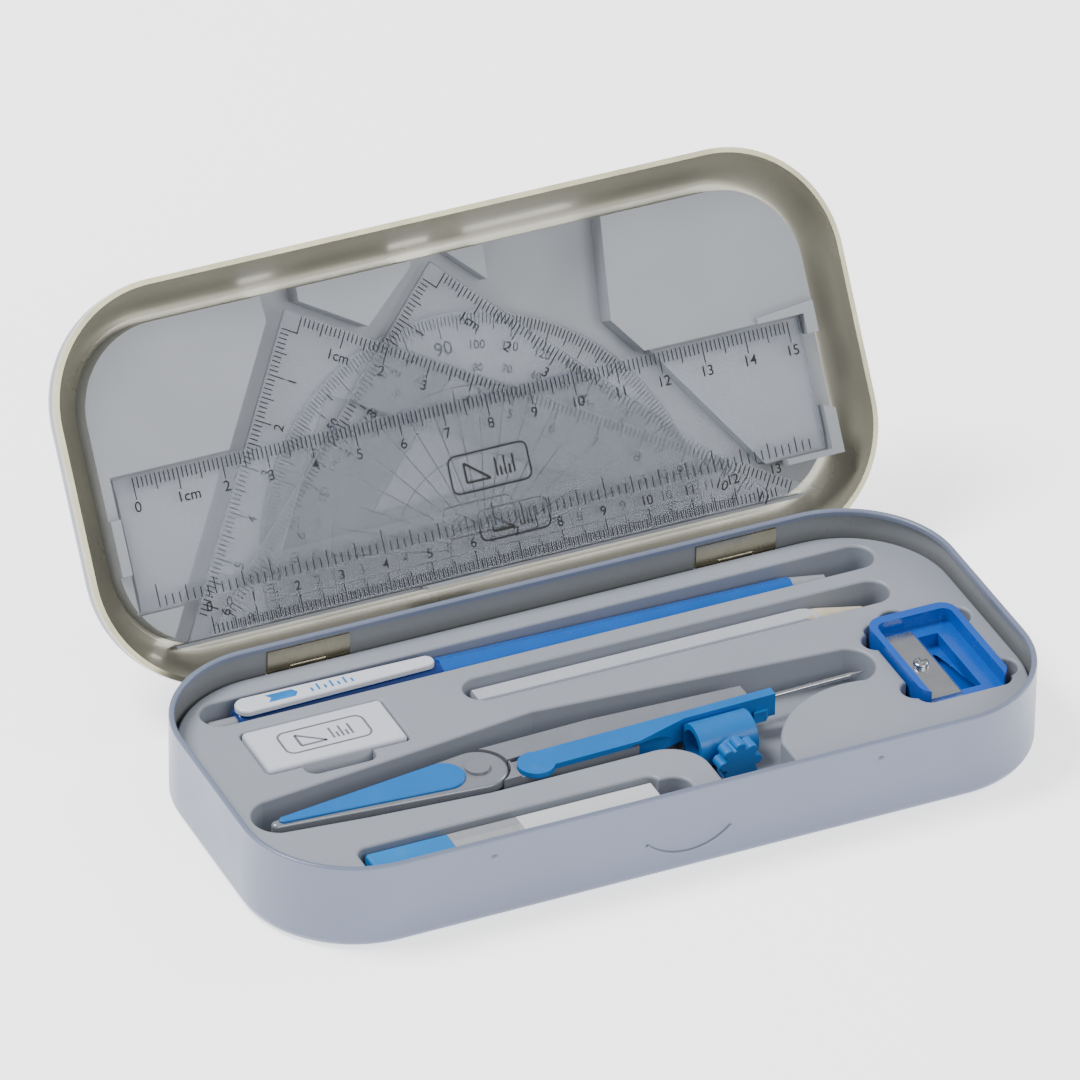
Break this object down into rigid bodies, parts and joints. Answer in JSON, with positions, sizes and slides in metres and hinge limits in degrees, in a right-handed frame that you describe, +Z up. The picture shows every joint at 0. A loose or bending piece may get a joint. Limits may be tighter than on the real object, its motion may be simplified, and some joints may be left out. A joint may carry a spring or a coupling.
{
  "type": "geometry instrument tin",
  "caption": "Hinged metal tin holding a compass, pencils, eraser, sharpener and lead case in a moulded tray, with a ruler, set squares and protractor in the lid.",
  "frame": {"origin": "centre of the base tin's underside", "axes": "+X along the tin's length, +Y towards the hinges, +Z up, with the lid standing open"},
  "size_m": [0.1792, 0.1387, 0.0816],
  "materials": {
    "tin_paint": "satin",
    "hinge_plate": "satin",
    "steel": "satin",
    "tray_plastic": "matte",
    "clear_plastic": "gloss",
    "white_plastic": "gloss",
    "grey_plastic": "satin",
    "sky_blue_plastic": "gloss",
    "blue_plastic": "gloss",
    "pale_blue_plastic": "gloss",
    "white_lacquer": "gloss",
    "graphite": "matte",
    "eraser_rubber": "matte"
  },
  "bodies": {
    "base": {"base_tin": "tin_paint", "base_tray": "tray_plastic", "base_hinge_leaf_left": "hinge_plate", "base_hinge_leaf_right": "hinge_plate", "hinge_pin_left": "steel", "hinge_pin_right": "steel"},
    "lid": {"lid_tin": "tin_paint", "lid_tray": "tray_plastic", "lid_hinge_leaf_left": "hinge_plate", "lid_hinge_leaf_right": "hinge_plate"},
    "ruler": {"ruler": "clear_plastic"},
    "protractor": {"protractor": "clear_plastic"},
    "set_square_30_60": {"set_square_30_60": "clear_plastic"},
    "set_square_45": {"set_square_45": "clear_plastic"},
    "compass": {"compass_handle": "grey_plastic", "compass_handle_pad": "sky_blue_plastic", "compass_needle_leg": "grey_plastic", "compass_needle": "steel", "compass_pivot_rivet": "steel"},
    "compass_pencil_leg": {"compass_pencil_leg": "grey_plastic", "compass_pencil_holder": "sky_blue_plastic"},
    "compass_clamp_knob": {"compass_clamp_knob": "grey_plastic"},
    "mechanical_pencil": {"mechanical_pencil_barrel": "blue_plastic", "mechanical_pencil_sleeve": "blue_plastic", "mechanical_pencil_tip": "clear_plastic", "mechanical_pencil_lead_tube": "blue_plastic", "mechanical_pencil_clip": "white_plastic"},
    "push_button": {"mechanical_pencil_push_button": "clear_plastic"},
    "wooden_pencil": {"wooden_pencil_body": "white_lacquer", "wooden_pencil_lead": "graphite"},
    "eraser": {"eraser": "eraser_rubber"},
    "sharpener": {"sharpener_body": "blue_plastic", "sharpener_blade": "steel", "sharpener_blade_screw": "steel"},
    "lead_case": {"lead_case_body": "white_plastic", "spare_leads": "graphite"},
    "lead_case_cap": {"lead_case_cap": "pale_blue_plastic"}
  },
  "joints": [
    {"name": "lid_hinge", "type": "hinge", "parent": "base", "child": "lid", "pos_m": [0, 0.0416, 0.0126], "axis": [-1, 0, 0], "range_deg": [-122.5, 0]},
    {"name": "ruler_out", "type": "slide", "parent": "lid", "child": "ruler", "axis": [0, -0.8434, 0.5373], "range_m": [0, 0.024]},
    {"name": "set_square_30_60_out", "type": "slide", "parent": "lid", "child": "set_square_30_60", "axis": [0, -0.8434, 0.5373], "range_m": [0, 0.018]},
    {"name": "set_square_45_out", "type": "slide", "parent": "lid", "child": "set_square_45", "axis": [0, -0.8434, 0.5373], "range_m": [0, 0.012]},
    {"name": "protractor_out", "type": "slide", "parent": "lid", "child": "protractor", "axis": [0, -0.8434, 0.5373], "range_m": [0, 0.006]},
    {"name": "compass_lift", "type": "slide", "parent": "base", "child": "compass", "axis": [0, 0, 1], "range_m": [0, 0.2]},
    {"name": "pencil_leg_opening", "type": "hinge", "parent": "compass", "child": "compass_pencil_leg", "pos_m": [-0.033, -0.0096, 0.0104], "axis": [0, 0, -1], "range_deg": [0, 50]},
    {"name": "clamp_knob_turn", "type": "hinge", "parent": "compass_pencil_leg", "child": "compass_clamp_knob", "pos_m": [0.01918, -0.01534, 0.0104], "axis": [0.0279, -0.9996, 0], "continuous": true},
    {"name": "mechanical_pencil_lift", "type": "slide", "parent": "base", "child": "mechanical_pencil", "axis": [0, 0, 1], "range_m": [0, 0.03]},
    {"name": "push_button_press", "type": "slide", "parent": "mechanical_pencil", "child": "push_button", "axis": [1, 0, 0], "range_m": [0, 0.003], "stiffness_N_per_m": 300},
    {"name": "wooden_pencil_lift", "type": "slide", "parent": "base", "child": "wooden_pencil", "axis": [0, 0, 1], "range_m": [0, 0.03]},
    {"name": "eraser_lift", "type": "slide", "parent": "base", "child": "eraser", "axis": [0, 0, 1], "range_m": [0, 0.03]},
    {"name": "sharpener_lift", "type": "slide", "parent": "base", "child": "sharpener", "axis": [0, 0, 1], "range_m": [0, 0.03]},
    {"name": "lead_case_lift", "type": "slide", "parent": "base", "child": "lead_case", "axis": [0, 0, 1], "range_m": [0, 0.04]},
    {"name": "lead_case_cap_pull", "type": "slide", "parent": "lead_case", "child": "lead_case_cap", "axis": [-1, 0, 0], "range_m": [0, 0.01]}
  ],
  "couplings": [
    {"joint": "set_square_30_60_out", "follows": "ruler_out", "ratio": 0.75},
    {"joint": "set_square_45_out", "follows": "ruler_out", "ratio": 0.5},
    {"joint": "protractor_out", "follows": "ruler_out", "ratio": 0.25},
    {"joint": "pencil_leg_opening", "follows": "compass_lift", "rad_per_m": 4.3633},
    {"joint": "lead_case_cap_pull", "follows": "lead_case_lift", "ratio": 0.25}
  ]
}
